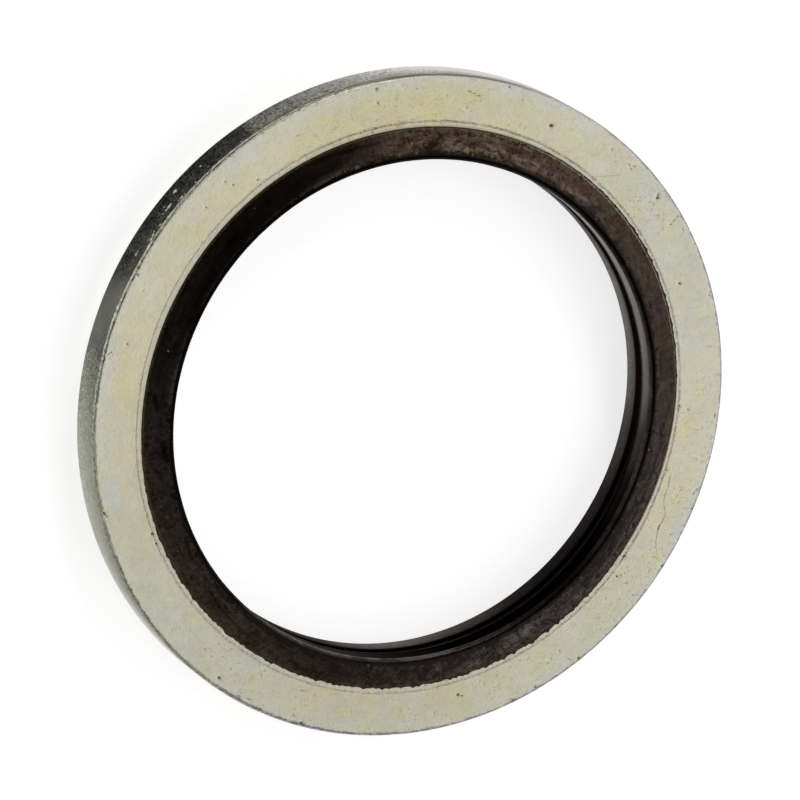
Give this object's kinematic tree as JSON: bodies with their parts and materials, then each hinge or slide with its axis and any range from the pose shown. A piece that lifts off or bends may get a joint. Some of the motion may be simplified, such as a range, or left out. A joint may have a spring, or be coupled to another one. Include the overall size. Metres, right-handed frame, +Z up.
{
  "type": "bonded sealing washer",
  "caption": "Flat zinc-plated steel ring with a rubber seal bonded into its bore; the seal's lips stand proud of both faces to seal under a bolt head or union.",
  "frame": {"origin": "on the washer's axis, at the level that its lower lip rests on", "axes": "+Z up along the washer's axis; the washer is the same all round, and its upper half mirrors the lower"},
  "size_m": [0.03, 0.03, 0.0028],
  "materials": {
    "zinc_plated_steel": "zinc plate with a pale cream passivation, fine dark specks and light scratches",
    "nitrile_rubber": "moulded black rubber, satin, a little brown in the light"
  },
  "bodies": {
    "root": {"steel_ring": "zinc_plated_steel", "rubber_seal": "nitrile_rubber"}
  },
  "joints": []
}
